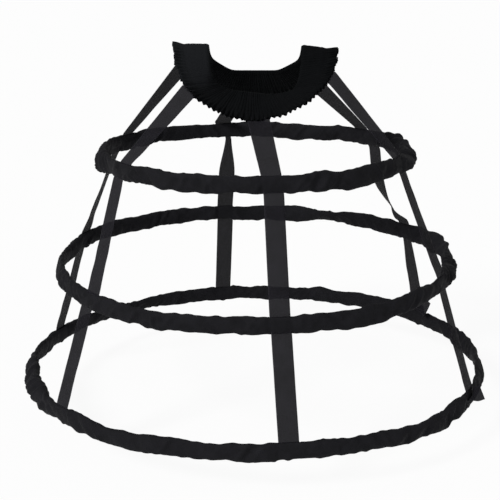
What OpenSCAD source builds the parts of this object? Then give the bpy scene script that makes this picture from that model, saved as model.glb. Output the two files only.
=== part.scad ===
// Crinoline cage: three cloth-covered hoops hung by six ribbon straps from a gathered elastic waistband.
// It hangs as on a bar: the waistband is folded over at its left and right, and sags in front and behind.
// The origin is the middle of the waist opening, +Z is up and -Y is the front. All sizes are millimetres.

/* [Hoops] */
// Diameter of the top hoop
top_hoop_d = 500; // [460:5:560]
// Diameter of the middle hoop
mid_hoop_d = 650; // [600:5:700]
// Diameter of the bottom hoop
low_hoop_d = 760; // [720:5:860]
// Drop from the waist opening to the top hoop
top_hoop_drop = 115; // [100:1:140]
// Drop from the top hoop to the middle hoop
mid_hoop_drop = 185; // [150:1:220]
// Drop from the middle hoop to the bottom hoop
low_hoop_drop = 178; // [150:1:220]
// Height of the flat steel strip in each hoop
bone_h = 8; // [6:0.5:12]
// Thickness of the flat steel strip
bone_t = 0.7; // [0.5:0.1:1.4]
// Gap between the two ends of a strip
bone_gap = 3; // [1:0.5:6]
// Length of the sleeve that joins the ends of a strip
joiner_l = 36; // [24:1:50]
// Wall of the joining sleeve
joiner_wall = 0.6; // [0.4:0.1:0.9]
// Angle of the joining sleeves from the right, seen from above
joiner_angle = 118; // [110:1:130]

/* [Casings] */
// Height of the cloth tube around a hoop
casing_h = 24; // [22:0.5:30]
// Thickness of the cloth tube at its middle
casing_t = 10; // [9:0.5:14]
// Thickness of the casing cloth
casing_cloth = 0.8; // [0.5:0.1:1]
// Spacing of the puckers along a casing
pucker_pitch = 38; // [24:1:60]
// Height of the puckers
pucker_h = 1.1; // [0:0.1:1.4]

/* [Straps] */
// Width of the ribbon
strap_w = 30; // [20:1:36]
// Thickness of the ribbon
strap_t = 0.8; // [0.5:0.1:1]
// Angle of the back right strap from the right, seen from above
back_right_angle = 38; // [30:1:46]
// Angle of the back strap
back_angle = 100; // [92:1:106]
// Angle of the back left strap
back_left_angle = 158; // [150:1:166]
// Angle of the front left strap
front_left_angle = 218; // [210:1:226]
// Angle of the front strap
front_angle = 276; // [268:1:284]
// Angle of the front right strap
front_right_angle = 334; // [326:1:342]
// How far the tops of the straps are turned away from the folds of the waistband, in degrees
waist_turn = 5; // [0:1:8]
// Length of strap end folded up behind the bottom hoop
strap_tail = 12; // [8:1:18]
// How far the slack back right strap bows in
slack_bow = 20; // [2:1:26]
// How far the other straps bow in
strap_bow = 3; // [0:0.5:8]

/* [Waistband] */
// Width of the waistband from its top fold to the edge of its ruffle
band_w = 58; // [52:1:66]
// Width of the ruffle below the stitching
ruffle_w = 19; // [12:1:24]
// Half the width of the waist opening, left to right
opening_x = 74; // [60:1:90]
// Half the depth of the waist opening, front to back
opening_y = 56; // [45:1:70]
// Half the spread of the ruffle, left to right
spread_x = 140; // [118:1:145]
// Half the spread of the ruffle, front to back
spread_y = 104; // [88:1:112]
// Height of the two folds over the bar, above the waist opening
ear_rise = 57; // [45:1:70]
// Sag of the top edge in front
front_sag = 11; // [4:1:20]
// Sag of the ruffle in front
front_ruffle_sag = 53; // [40:1:60]
// Rise of the top edge behind
back_rise = 10; // [0:1:16]
// Sag of the ruffle behind
back_ruffle_sag = 66; // [50:1:76]
// How much lower the top edge hangs in front on the right
top_lean = 3; // [0:1:8]
// How much lower the ruffle hangs in front on the left
ruffle_lean = 9; // [0:1:10]
// How much lower the ruffle is at the right fold
fold_drop = 4; // [0:1:6]
// Thickness of the waistband cloth
band_cloth = 0.8; // [0.5:0.1:1]
// Number of gathers round the waistband
gathers = 60; // [40:1:72]
// Height of the gathers over the elastic
gather_h = 1.2; // [0.4:0.1:2]
// Height of the waves in the ruffle
ruffle_h = 3.2; // [1:0.1:4]
// Width of the elastic
elastic_w = 30; // [24:1:32]
// Thickness of the elastic
elastic_t = 1.1; // [0.8:0.1:1.4]

/* [Hidden] */
$fn = 96;
fit = 0.3;

// Hoop rows: radius of the steel strip and height of its middle
top_hoop = [top_hoop_d / 2, -top_hoop_drop];
mid_hoop = [mid_hoop_d / 2, top_hoop[1] - mid_hoop_drop];
low_hoop = [low_hoop_d / 2, mid_hoop[1] - low_hoop_drop];

strap_angles = [back_right_angle, back_angle, back_left_angle, front_left_angle, front_angle, front_right_angle];
strap_bows = [slack_bow, strap_bow, strap_bow, strap_bow, strap_bow, strap_bow];
// Half turns of each strap between the top and the middle hoop
strap_half_turns = [1, 0, 0, 0, 0, 0];

// Straps pass just outside the steel strip, between the two layers of a casing
strap_offset = bone_t / 2 + fit + strap_t / 2;
slot_ease = 1;
// Half the opening of a slit, with room for the bow of the hoop along it
function slot_half(r) = strap_offset + strap_t / 2 + fit + pow(strap_w / 2 + slot_ease, 2) / 2 / r;
// Slope of the casing's section towards its top and bottom edges
shoulder = 0.58;

// Heights across the waistband, from its top fold
stitch_at = band_w - ruffle_w;
// Room for a strap between the two layers of the ruffle
slit_half = strap_t / 2 + 2 * fit;
elastic_at = 3;

CLOTH = [0.09, 0.09, 0.1];
RIBBON = [0.17, 0.165, 0.185];
BAND = [0.07, 0.07, 0.075];

function polar(r, a, z) = [r * cos(a), r * sin(a), z];
function unit(v) = v / norm(v);
function mix(a, b, t) = a + (b - a) * t;
function smooth(t) = t * t * (3 - 2 * t);
// Two triangles across four corners that may not be flat
function quad(a, b, c, d) = [[a, b, c], [a, c, d]];
// An even but unrepeated wobble from -1 to 1
function wobble(i, k) = (sin(137.5 * i + 95 * k) + sin(222.5 * i - 61 * k)) / 2;

// Solid of a closed loop of closed sections, in torus form
module loop_solid(rings) {
    n = len(rings);
    m = len(rings[0]);
    points = [for (ring = rings) each ring];
    // The shorter diagonal, so that the two faces of a thin cloth fold alike
    function folded(a, b, c, d) =
        norm(points[a] - points[c]) <= norm(points[b] - points[d]) ? quad(a, b, c, d) : quad(b, c, d, a);
    polyhedron(
        points,
        [for (i = [0:n - 1], j = [0:m - 1])
            let (u = (i + 1) % n, v = (j + 1) % m)
            each folded(i * m + j, u * m + j, u * m + v, i * m + v)],
        convexity = 12);
}

// Solid of a thin sheet given as rows of points, thickened evenly to both sides
module sheet_solid(rows, thick) {
    n = len(rows);
    m = len(rows[0]);
    function along(i, j) = rows[min(i + 1, n - 1)][j] - rows[max(i - 1, 0)][j];
    function across(i, j) = rows[i][min(j + 1, m - 1)] - rows[i][max(j - 1, 0)];
    function normal(i, j) = unit(cross(along(i, j), across(i, j)));
    function face(side) = [for (i = [0:n - 1], j = [0:m - 1]) rows[i][j] + side * normal(i, j) * thick / 2];
    far = n * m;
    polyhedron(
        concat(face(1), face(-1)),
        concat(
            [for (i = [0:n - 2], j = [0:m - 2])
                each quad(i * m + j, i * m + j + 1, (i + 1) * m + j + 1, (i + 1) * m + j)],
            [for (i = [0:n - 2], j = [0:m - 2])
                each quad(far + i * m + j, far + (i + 1) * m + j, far + (i + 1) * m + j + 1, far + i * m + j + 1)],
            [for (i = [0:n - 2], edge = [0, m - 1])
                let (a = i * m + edge, b = (i + 1) * m + edge)
                each (edge == 0 ? quad(a, b, far + b, far + a) : quad(b, a, far + a, far + b))],
            [for (j = [0:m - 2], end = [0, n - 1])
                let (a = end * m + j, b = a + 1)
                each (end == 0 ? quad(b, a, far + a, far + b) : quad(a, b, far + b, far + a))]),
        convexity = 8);
}

// Waistband surface. Its edges are loops in plan that climb to the two folds over the bar.
fold_round = 10;
middle_round = 14;
top_front_spread = 9.5;
back_slope = 52;
back_share = 0.8;
ruffle_spread = 100;
blunt = 0.7;
// Angle from the nearer fold, rounded off halfway between the folds
function bend(side) = norm([side, middle_round]) - middle_round;
function from_fold(a) = 90 - 90 * bend(((a % 180) + 180) % 180 - 90) / bend(90);
function fade(off, spread) = exp(-(sqrt(off * off + fold_round * fold_round) - fold_round) / spread);
function ear(a, spread) =
    let (rest = fade(90, spread))
    (fade(from_fold(a), spread) - rest) / (1 - rest);
function slope(a) =
    max(0, 1 - (norm([from_fold(a), fold_round]) - fold_round) / back_slope);
function behind(a) = smooth((1 + sin(a)) / 2);
function level(a, front, back, lean) = mix(front - lean * cos(a), back, behind(a));
// The top edge falls steeply from the folds, and behind it then slants down to the middle
function top_climb(a) =
    mix(ear(a, top_front_spread), slope(a), back_share * behind(a));
function top_edge(a) =
    let (low = level(a, -front_sag, back_rise, top_lean))
    [opening_x * cos(a), opening_y * sign(sin(a)) * pow(abs(sin(a)), blunt), mix(low, ear_rise, top_climb(a))];
function ruffle_edge(a) =
    let (low = level(a, -front_ruffle_sag, -back_ruffle_sag, -ruffle_lean), high = ear_rise - fold_drop * cos(a))
    [spread_x * cos(a), spread_y * sin(a), mix(low, high, ear(a, ruffle_spread))];
function band_down(a) = unit(ruffle_edge(a) - top_edge(a));
function band_out(a) = unit(cross(band_down(a), unit(top_edge(a + 1) - top_edge(a - 1))));
function on_band(a, w, n) = top_edge(a) + band_down(a) * w + band_out(a) * n;

// Section of the waistband: cloth folded over the elastic, open along the edge of the ruffle
function band_section(ridge) =
    let (
        room = elastic_t / 2 + 2 * fit,
        full = room + band_cloth,
        flat = slit_half + band_cloth,
        puff = full + gather_h * ridge,
        wave = flat + ruffle_h * ridge)
    [[0, 0], [elastic_at, full], [stitch_at / 2, puff], [stitch_at, flat], [band_w, wave],
     [band_w, wave - band_cloth], [stitch_at, slit_half], [elastic_at - fit, room],
     [elastic_at - fit, -room], [stitch_at, -slit_half], [band_w, band_cloth - wave],
     [band_w, -wave], [stitch_at, -flat], [stitch_at / 2, -puff], [elastic_at, -full]];

// Each gather has a ring at its ridge and one in its valley, closer together at the folds
band_rings = 2 * gathers;
ring_crowding = 18;
function ring_angle(i) = let (even = 360 * i / band_rings) even - ring_crowding * sin(2 * even);

module waistband() {
    color(BAND)
        loop_solid([for (i = [0:band_rings - 1])
            let (a = ring_angle(i))
            [for (p = band_section(i % 2)) on_band(a, p[0], p[1])]]);
}

module waist_elastic() {
    near = elastic_at;
    far = elastic_at + elastic_w;
    h = elastic_t / 2;
    color("ivory")
        loop_solid([for (i = [0:band_rings - 1])
            let (a = ring_angle(i))
            [on_band(a, near, h), on_band(a, far, h), on_band(a, far, -h), on_band(a, near, -h)]]);
}

// One row of three points across a strap, on the waistband or round a hoop
side_steps = [-1, 0, 1];
function band_row(angle, w) =
    let (step = strap_w / norm(ruffle_edge(angle + 1) - ruffle_edge(angle - 1)))
    [for (s = side_steps) on_band(angle + s * step, w, 0)];
function hoop_row(angle, hoop, out, up, flip) =
    let (r = hoop[0] + out, half = strap_w / 2 / hoop[0] * 180 / PI)
    [for (s = side_steps) polar(r, angle + s * flip * half, hoop[1] + up)];

// Free run of a strap between two rows, bowed in towards the axis and turned about its own line
function free_run(from, to, bow, turns, steps) =
    [for (k = [1:steps - 1])
        let (
            t = k / steps,
            mid = mix(from[1], to[1], t),
            in = -unit([mid[0], mid[1], 0]) * bow * sin(180 * t),
            line = unit(to[1] - from[1]),
            start = from[2] - from[1],
            side = turns == 0 ? mix(start, to[2] - to[1], t) : start,
            twist = 180 * turns * smooth(t),
            turned = side * cos(twist) + cross(line, side) * sin(twist))
        [for (s = side_steps) mid + in + unit(turned) * s * strap_w / 2]];

// A strap starts in the waistband's slit, runs through two casings and folds round the bottom hoop
module strap(i) {
    angle = strap_angles[i];
    flip = strap_half_turns[i] % 2 == 0 ? 1 : -1;
    edge = casing_h / 2 + pucker_h + 1;
    fold = bone_h / 2 + fit;
    top_in = hoop_row(angle, top_hoop, strap_offset, edge, 1);
    top_out = hoop_row(angle, top_hoop, strap_offset, -edge, 1);
    mid_in = hoop_row(angle, mid_hoop, strap_offset, edge, flip);
    mid_out = hoop_row(angle, mid_hoop, strap_offset, -edge, flip);
    low_in = hoop_row(angle, low_hoop, strap_offset, edge, flip);
    // The tops of the straps are drawn towards the two folds
    at_waist = angle + waist_turn * sin(2 * angle);
    waist = band_row(at_waist, band_w + 2);
    rows = concat(
        [band_row(at_waist, stitch_at + 1), band_row(at_waist, stitch_at + ruffle_w / 2), waist],
        free_run(waist, top_in, 0, 0, 5),
        [top_in, top_out],
        free_run(top_out, mid_in, strap_bows[i], strap_half_turns[i], 8),
        [mid_in, mid_out],
        free_run(mid_out, low_in, strap_bow, 0, 4),
        [low_in],
        [hoop_row(angle, low_hoop, strap_offset, -fold, flip)],
        [hoop_row(angle, low_hoop, 0, -fold - strap_offset * 0.8, flip)],
        [hoop_row(angle, low_hoop, -strap_offset, -fold, flip)],
        [hoop_row(angle, low_hoop, -strap_offset, strap_tail - fold, flip)]);
    color(RIBBON) sheet_solid(rows, strap_t);
}

module strap_back_right() { strap(0); }
module strap_back() { strap(1); }
module strap_back_left() { strap(2); }
module strap_front_left() { strap(3); }
module strap_front() { strap(4); }
module strap_front_right() { strap(5); }

// Eight-sided section of a casing, shrunk by the cloth for its inside. Puckers move both faces alike.
function casing_section(i, r, shrink, still) =
    let (
        p = still ? 0 : pucker_h,
        edge = slot_half(r) + casing_cloth - shrink,
        wall = casing_t / 2 - shrink,
        tall = casing_h / 2 - shrink,
        sh = casing_h / 2 * shoulder - shrink / 2)
    [[edge, tall + p * wobble(i, 1)], [wall + p * wobble(i, 2), sh],
     [wall + p * wobble(i, 3), -sh], [edge, -tall + p * wobble(i, 4)],
     [-edge, -tall + p * wobble(i, 4)], [-wall + p * wobble(i, 5), -sh],
     [-wall + p * wobble(i, 6), sh], [-edge, tall + p * wobble(i, 1)]];

// Cloth tube round a hoop, with a slit in its top edge for each strap and, but for the bottom hoop, below
module casing(hoop, slit_below) {
    r = hoop[0];
    half = (strap_w / 2 + slot_ease) / r * 180 / PI;
    straps = len(strap_angles);
    // Each strap's slit is one cell long, with puckered cells from there to the next slit
    cells = [for (s = [0:straps - 1])
        let (
            from = strap_angles[s] + half,
            to = (s + 1 < straps ? strap_angles[s + 1] : strap_angles[0] + 360) - half,
            steps = max(2, round((to - from) * PI / 180 * r / pucker_pitch)))
        each concat(
            [[strap_angles[s] - half, true]],
            [for (k = [0:steps - 1]) [from + (to - from) * k / steps, false]])];
    n = len(cells);
    m = 8;
    function slit(i, j) = cells[i][1] && (j == m - 1 || (slit_below && j == 3));
    function still(i) = cells[i][1] || cells[(i + n - 1) % n][1];
    function skin(shrink) = [for (i = [0:n - 1], p = casing_section(i, r, shrink, still(i)))
        polar(r + p[0], cells[i][0], hoop[1] + p[1])];
    inner = n * m;
    function at(i, j) = (i % n) * m + j % m;
    color(CLOTH)
        polyhedron(
            concat(skin(0), skin(casing_cloth)),
            [for (i = [0:n - 1], j = [0:m - 1])
                let (a = at(i, j), b = at(i + 1, j), c = at(i + 1, j + 1), d = at(i, j + 1))
                each (slit(i, j)
                    ? concat(
                        quad(a, b, inner + b, inner + a),
                        quad(b, c, inner + c, inner + b),
                        quad(c, d, inner + d, inner + c),
                        quad(d, a, inner + a, inner + d))
                    : concat(
                        quad(a, b, c, d),
                        quad(inner + a, inner + d, inner + c, inner + b)))],
            convexity = 12);
}

module casing_top() { casing(top_hoop, true); }
module casing_mid() { casing(mid_hoop, true); }
module casing_low() { casing(low_hoop, false); }

function arc_angle(length, r) = length / r * 180 / PI;

// Flat spring steel bent to a hoop, with its two ends meeting in the joining sleeve
module hoop_bone(hoop) {
    gap = arc_angle(bone_gap, hoop[0]);
    color([0.2, 0.2, 0.21])
        translate([0, 0, hoop[1]])
            rotate([0, 0, joiner_angle + gap / 2])
                rotate_extrude(angle = 360 - gap)
                    translate([hoop[0] - bone_t / 2, -bone_h / 2])
                        square([bone_t, bone_h]);
}

module hoop_bone_top() { hoop_bone(top_hoop); }
module hoop_bone_mid() { hoop_bone(mid_hoop); }
module hoop_bone_low() { hoop_bone(low_hoop); }

// Flattened sleeve crimped over the two ends of the steel strip
module bone_joiner(hoop) {
    turn = arc_angle(joiner_l, hoop[0]);
    inside = [bone_t + fit, bone_h + fit];
    outside = inside + [1, 1] * 2 * joiner_wall;
    color("silver")
        translate([0, 0, hoop[1]])
            rotate([0, 0, joiner_angle - turn / 2])
                rotate_extrude(angle = turn)
                    translate([hoop[0], 0])
                        difference() {
                            square(outside, center = true);
                            square(inside, center = true);
                        }
}

module bone_joiner_top() { bone_joiner(top_hoop); }
module bone_joiner_mid() { bone_joiner(mid_hoop); }
module bone_joiner_low() { bone_joiner(low_hoop); }

waistband();
waist_elastic();
strap_back_right();
strap_back();
strap_back_left();
strap_front_left();
strap_front();
strap_front_right();
casing_top();
casing_mid();
casing_low();
hoop_bone_top();
hoop_bone_mid();
hoop_bone_low();
bone_joiner_top();
bone_joiner_mid();
bone_joiner_low();
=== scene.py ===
"""Dresses the crinoline cage: puckered casings, ribbon straps, a gathered waistband, stitching, light and camera."""
import math
import bpy
import numpy as np
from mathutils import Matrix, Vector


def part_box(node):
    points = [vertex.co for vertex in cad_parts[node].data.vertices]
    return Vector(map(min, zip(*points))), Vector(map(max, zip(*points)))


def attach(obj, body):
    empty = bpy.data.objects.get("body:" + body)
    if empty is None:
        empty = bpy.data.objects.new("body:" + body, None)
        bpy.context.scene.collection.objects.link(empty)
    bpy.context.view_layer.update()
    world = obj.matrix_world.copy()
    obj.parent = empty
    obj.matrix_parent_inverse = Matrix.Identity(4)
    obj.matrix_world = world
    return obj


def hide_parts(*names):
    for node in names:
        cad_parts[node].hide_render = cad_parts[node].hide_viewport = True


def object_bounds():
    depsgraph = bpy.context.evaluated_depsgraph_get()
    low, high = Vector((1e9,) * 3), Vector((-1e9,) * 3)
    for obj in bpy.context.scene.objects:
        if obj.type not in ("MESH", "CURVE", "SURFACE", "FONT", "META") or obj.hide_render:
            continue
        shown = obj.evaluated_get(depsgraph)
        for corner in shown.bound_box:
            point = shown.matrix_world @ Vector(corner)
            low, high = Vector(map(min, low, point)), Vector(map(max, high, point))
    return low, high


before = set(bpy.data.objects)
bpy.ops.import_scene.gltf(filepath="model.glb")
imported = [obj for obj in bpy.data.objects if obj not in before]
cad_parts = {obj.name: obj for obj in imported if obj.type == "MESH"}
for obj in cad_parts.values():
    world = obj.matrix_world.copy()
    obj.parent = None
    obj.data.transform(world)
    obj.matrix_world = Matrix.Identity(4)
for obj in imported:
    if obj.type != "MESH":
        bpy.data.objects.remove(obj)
CAD_BOX = [list(corner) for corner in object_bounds()]

MM = 0.001
TAU = 2 * math.pi

# Sizes of the sewn pieces, in metres
BONE_T = 0.7 * MM
BONE_H = 8 * MM
SLEEVE_T = 2.2 * MM
STRAP_W = 30 * MM
STRAP_T = 0.8 * MM
STRAP_OFF = BONE_T / 2 + 0.3 * MM + STRAP_T / 2
CASING_H = 27 * MM
CASING_T = 10 * MM
CASING_CLOTH = 0.7 * MM
STRAP_TAIL = 12 * MM
BONE_FOLD = 4.3 * MM

# Angles of the straps: at the waist, into and out of the top casing, into and out of the middle one,
# and at the bottom hoop, counted from the right, seen from above
STRAPS = {
    "back_right": (43.3, 41.8, 33, 33.3, 31.2, 35.2),
    "back": (101.7, 103.4, 101, 100, 100, 99.5),
    "back_left": (151.7, 150.9, 163, 157, 161.5, 159),
    "front_left": (223, 219, 212.8, 221.5, 217.6, 219.3),
    "front": (272, 275, 276, 276, 276.5, 277),
    "front_right": (330.4, 329.9, 337, 332, 335, 332.2),
}
# Where a strap goes in and out of each casing, in the rows above
STRAP_IN = {"top": 1, "mid": 3, "low": 5}
STRAP_OUT = {"top": 2, "mid": 4, "low": 5}
# Share of its width to which a strap is bunched where it leaves a casing
BUNCHED = {("back", "top"): 0.3, ("back_right", "mid"): 0.8}
LEVELS = ("top", "mid", "low")
# How each hoop hangs off level: lift, lean to the right, lean to the back, and two saddle terms
HANG = {
    "top": (-3.5 * MM, 1.5 * MM, -3 * MM, 1 * MM, 0.0),
    "mid": (0.5 * MM, 2 * MM, 4 * MM, 1.5 * MM, -1.5 * MM),
    "low": (0, 2 * MM, -1.5 * MM, -1 * MM, 1.5 * MM),
}


def hoop_size(level):
    """Radius and height of a hoop's steel strip, from the frame."""
    low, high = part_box("hoop_bone_" + level)
    return (high.x - low.x) / 2 - BONE_T / 2, (high.z + low.z) / 2


HOOPS = {level: hoop_size(level) for level in LEVELS}


def hang(level, theta):
    """Height of a hoop's middle line at an angle in radians."""
    lift, right, back, saddle, skew = HANG[level]
    return (HOOPS[level][1] + lift + right * np.cos(theta) + back * np.sin(theta)
            + saddle * np.cos(2 * theta) + skew * np.sin(2 * theta))


# Helpers for noise, curves and meshes

def smooth(t):
    """0 up to 0, 1 from 1 on, and a smooth step between them."""
    t = np.clip(t, 0, 1)
    return t * t * (3 - 2 * t)


NOISE_ROWS = 97


def lattice(u, v, cells, seed):
    """Smooth noise from -1 to 1 that repeats in u after a whole number of cells."""
    rows = NOISE_ROWS
    table = np.random.default_rng(seed).uniform(-1, 1, (cells, rows))
    i, j = np.floor(u).astype(int), np.floor(v).astype(int)
    fu, fv = smooth(u - i), smooth(v - j)
    a = table[i % cells, j % rows] * (1 - fu) + table[(i + 1) % cells, j % rows] * fu
    b = table[i % cells, (j + 1) % rows] * (1 - fu) + table[(i + 1) % cells, (j + 1) % rows] * fu
    return a * (1 - fv) + b * fv


def unit(v):
    return v / np.linalg.norm(v, axis=-1, keepdims=True)


def add_object(name, data):
    """Puts a new object into the scene."""
    thing = bpy.data.objects.new(name, data)
    bpy.context.scene.collection.objects.link(thing)
    return thing


def grid_object(name, points, uv, loop_u=False, loop_v=False, drop=None):
    """Mesh of a grid of points, joined into a loop along either way, with some cells left out."""
    n, m = points.shape[:2]
    i, j = np.meshgrid(np.arange(n if loop_u else n - 1), np.arange(m if loop_v else m - 1), indexing="ij")
    i, j = i.ravel(), j.ravel()
    if drop is not None:
        keep = ~drop[i, j]
        i, j = i[keep], j[keep]
    corners = [(i, j), (i + 1, j), (i + 1, j + 1), (i, j + 1)]
    faces = np.stack([(a % n) * m + b % m for a, b in corners], 1)
    mesh = bpy.data.meshes.new(name)
    mesh.from_pydata(points.reshape(-1, 3).tolist(), [], faces.tolist())
    layer = mesh.uv_layers.new(name="cloth")
    place = np.stack([np.stack([uv[0][a], uv[1][b]], -1) for a, b in corners], 1)
    layer.data.foreach_set("uv", place.reshape(-1).astype(np.float32))
    mesh.polygons.foreach_set("use_smooth", np.ones(len(faces), bool))
    mesh.update()
    return add_object(name, mesh)


def thicken(piece, thickness, offset):
    """Gives a sheet of cloth its thickness, to one side or evenly to both."""
    solid = piece.modifiers.new("cloth_thickness", "SOLIDIFY")
    solid.thickness = thickness
    solid.offset = offset
    solid.use_even_offset = False


def finish_piece(piece, material, nodes=()):
    """Gives a piece its material and slot, and puts it in the place of CAD nodes."""
    piece.data.materials.append(material)
    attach(piece, "root")
    if nodes:
        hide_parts(*nodes)


# Materials

def shader_tree(name):
    material = bpy.data.materials.new(name)
    material.use_nodes = True
    tree = material.node_tree
    return material, tree, tree.nodes["Principled BSDF"]


def add_node(tree, kind, **values):
    """Adds a shader node, with its settings and the values of its inputs."""
    node = tree.nodes.new(kind)
    for key, value in values.items():
        if hasattr(node, key):
            setattr(node, key, value)
        else:
            node.inputs[key.replace("_", " ")].default_value = value
    return node


def math_node(tree, operation, a, b=None):
    """Adds an operation on one or two values or links, and gives back its result."""
    node = add_node(tree, "ShaderNodeMath", operation=operation)
    for socket, value in zip(node.inputs, (a, b)):
        if value is None:
            continue
        if isinstance(value, (int, float)):
            socket.default_value = value
        else:
            tree.links.new(value, socket)
    return node.outputs[0]


def texture(tree, kind, place, **values):
    """Adds a texture that is laid out on a vector."""
    node = add_node(tree, kind, **values)
    tree.links.new(place, node.inputs["Vector"])
    return node


def mix_colours(tree, shader, share, dark, light, clamp=True):
    """Blends two colours into the base colour."""
    mix = add_node(tree, "ShaderNodeMix", data_type="RGBA", clamp_factor=clamp)
    sides = [socket for socket in mix.inputs if socket.type == "RGBA"]
    sides[0].default_value = (*dark, 1)
    sides[1].default_value = (*light, 1)
    tree.links.new(share, mix.inputs[0])
    colour = [socket for socket in mix.outputs if socket.type == "RGBA"][0]
    tree.links.new(colour, shader.inputs["Base Color"])


def add_bump(tree, shader, height, strength, depth):
    """Lets a height roughen the surface."""
    bump = add_node(tree, "ShaderNodeBump", Strength=strength, Distance=depth)
    tree.links.new(height, bump.inputs["Height"])
    tree.links.new(bump.outputs[0], shader.inputs["Normal"])


def set_values(shader, **values):
    for key, value in values.items():
        shader.inputs[key.replace("_", " ")].default_value = value


def step_up(tree, value, start, end):
    """0 before one value, 1 past another, and smooth between them."""
    node = add_node(tree, "ShaderNodeMapRange", interpolation_type="SMOOTHSTEP", From_Min=start, From_Max=end)
    tree.links.new(value, node.inputs[0])
    return node.outputs[0]


def weave_height(tree, coord, warp, weft):
    """Height of a plain weave with a warp and a weft thread pitch in metres, from 0 to 1."""
    split = add_node(tree, "ShaderNodeSeparateXYZ")
    tree.links.new(coord, split.inputs[0])
    across = math_node(tree, "SINE", math_node(tree, "MULTIPLY", split.outputs[0], math.pi / warp))
    along = math_node(tree, "SINE", math_node(tree, "MULTIPLY", split.outputs[1], math.pi / weft))
    return math_node(tree, "ABSOLUTE", math_node(tree, "MULTIPLY", across, along))


# Shares of the lighter colour in a cloth: everywhere, on its threads, on a selvedge, and in a painted highlight where
# the light falls on one part
CLOTH_TONE = 0.325
THREAD_TONE = 0.35
SELVEDGE_TONE = 0.55
PAINTED_HIGHLIGHT_TONE = 1.7
CLOTH_BUMP = 0.5
GLOSS_RANGE = 0.16
FUZZ_SCALE = 900.0
FUZZ_HEIGHT = 0.5
SHEEN_ROUGH = 0.45


def cloth_material(name, dark, light, warp, weft, rough, specular, sheen, blotch, weave_depth,
                   mottle=0.65, selvedge=None, painted_highlight=None, open_share=0.0):
    """Woven cloth: threads in the colour and the bump, soft blotches of wear and a little sheen; a ribbon's selvedge,
    or a painted highlight, paler cloth where light falls, between two places along X and above two heights; and
    the share of the weave that is open between its threads, on each of its two faces."""
    material, tree, shader = shader_tree(name)
    coord = add_node(tree, "ShaderNodeUVMap", uv_map="cloth").outputs[0]
    place = add_node(tree, "ShaderNodeTexCoord").outputs["Object"]
    threads = weave_height(tree, coord, warp, weft)
    patches = texture(tree, "ShaderNodeTexNoise", place, Scale=blotch, Detail=4.0, Roughness=0.6).outputs[0]
    fuzz = texture(tree, "ShaderNodeTexNoise", place, Scale=FUZZ_SCALE, Detail=2.0).outputs[0]
    shade = math_node(tree, "MULTIPLY", math_node(tree, "SUBTRACT", patches, 0.5), mottle)
    shade = math_node(tree, "ADD", shade, CLOTH_TONE)
    shade = math_node(tree, "ADD", shade, math_node(tree, "MULTIPLY", threads, THREAD_TONE))
    # Painted highlight: paler cloth between two places along X and above a height, where the light falls
    if painted_highlight is not None:
        split = add_node(tree, "ShaderNodeSeparateXYZ")
        tree.links.new(place, split.inputs[0])
        near, far, start, end = painted_highlight
        left = step_up(tree, split.outputs[0], near, far)
        high = step_up(tree, split.outputs[2], start, end)
        highlight_share = math_node(tree, "MULTIPLY", left, high)
        shade = math_node(tree, "ADD", shade, math_node(tree, "MULTIPLY", highlight_share, PAINTED_HIGHLIGHT_TONE))
    if selvedge is not None:
        split = add_node(tree, "ShaderNodeSeparateXYZ")
        tree.links.new(coord, split.inputs[0])
        off = math_node(tree, "ABSOLUTE", math_node(tree, "SUBTRACT", split.outputs[1], STRAP_W / 2))
        edge = math_node(tree, "GREATER_THAN", off, STRAP_W / 2 - selvedge)
        shade = math_node(tree, "ADD", shade, math_node(tree, "MULTIPLY", edge, SELVEDGE_TONE))
    mix_colours(tree, shader, shade, dark, light, clamp=False)
    gloss = math_node(tree, "ADD", rough - GLOSS_RANGE / 2, math_node(tree, "MULTIPLY", patches, GLOSS_RANGE))
    tree.links.new(gloss, shader.inputs["Roughness"])
    height = math_node(tree, "ADD", threads, math_node(tree, "MULTIPLY", fuzz, FUZZ_HEIGHT))
    add_bump(tree, shader, height, CLOTH_BUMP, weave_depth)
    set_values(shader, Sheen_Weight=sheen, Sheen_Roughness=SHEEN_ROUGH, Specular_IOR_Level=specular,
               Alpha=1 - open_share)
    return material


def thread_material(name, dark, light):
    """Twisted sewing thread."""
    material, tree, shader = shader_tree(name)
    place = add_node(tree, "ShaderNodeTexCoord").outputs["Object"]
    ply = texture(tree, "ShaderNodeTexWave", place, Scale=1400.0, Distortion=1.5).outputs[1]
    mix_colours(tree, shader, ply, dark, light)
    set_values(shader, Roughness=0.7, Specular_IOR_Level=0.05)
    add_bump(tree, shader, ply, 0.4, 0.1 * MM)
    return material


CASING_CLOTH_LOOK = cloth_material(
    "casing_cotton", dark=(0.0052, 0.0053, 0.0061), light=(0.013, 0.0127, 0.0153), warp=0.45 * MM, weft=0.45 * MM,
    rough=0.75, specular=0.06, sheen=0.02, blotch=60.0, weave_depth=0.12 * MM, mottle=1.3)
# The waistband's left fold gets a painted highlight, paler cloth where the key light from the left falls
BAND_CLOTH_LOOK = cloth_material(
    "waistband_cotton", dark=(0.0016, 0.0018, 0.002), light=(0.0052, 0.0056, 0.0063), warp=0.4 * MM, weft=0.4 * MM,
    rough=0.8, specular=0.025, sheen=0.01, blotch=80.0, weave_depth=0.1 * MM,
    painted_highlight=(-66 * MM, -80 * MM, -10 * MM, 14 * MM))
RIBBON_LOOK = cloth_material(
    "strap_ribbon", dark=(0.0046, 0.0044, 0.0057), light=(0.0152, 0.0143, 0.0186), warp=0.35 * MM, weft=0.8 * MM,
    rough=0.7, specular=0.08, sheen=0.02, blotch=45.0, weave_depth=0.15 * MM,
    mottle=1.0, selvedge=1.4 * MM, open_share=0.11)
THREAD_LOOK = thread_material("black_thread", (0.001, 0.001, 0.0011), (0.0035, 0.0035, 0.0038))


STEEL_LINES = (12, 12, 4000)
SPOT_GLOSS = 0.2


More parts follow.
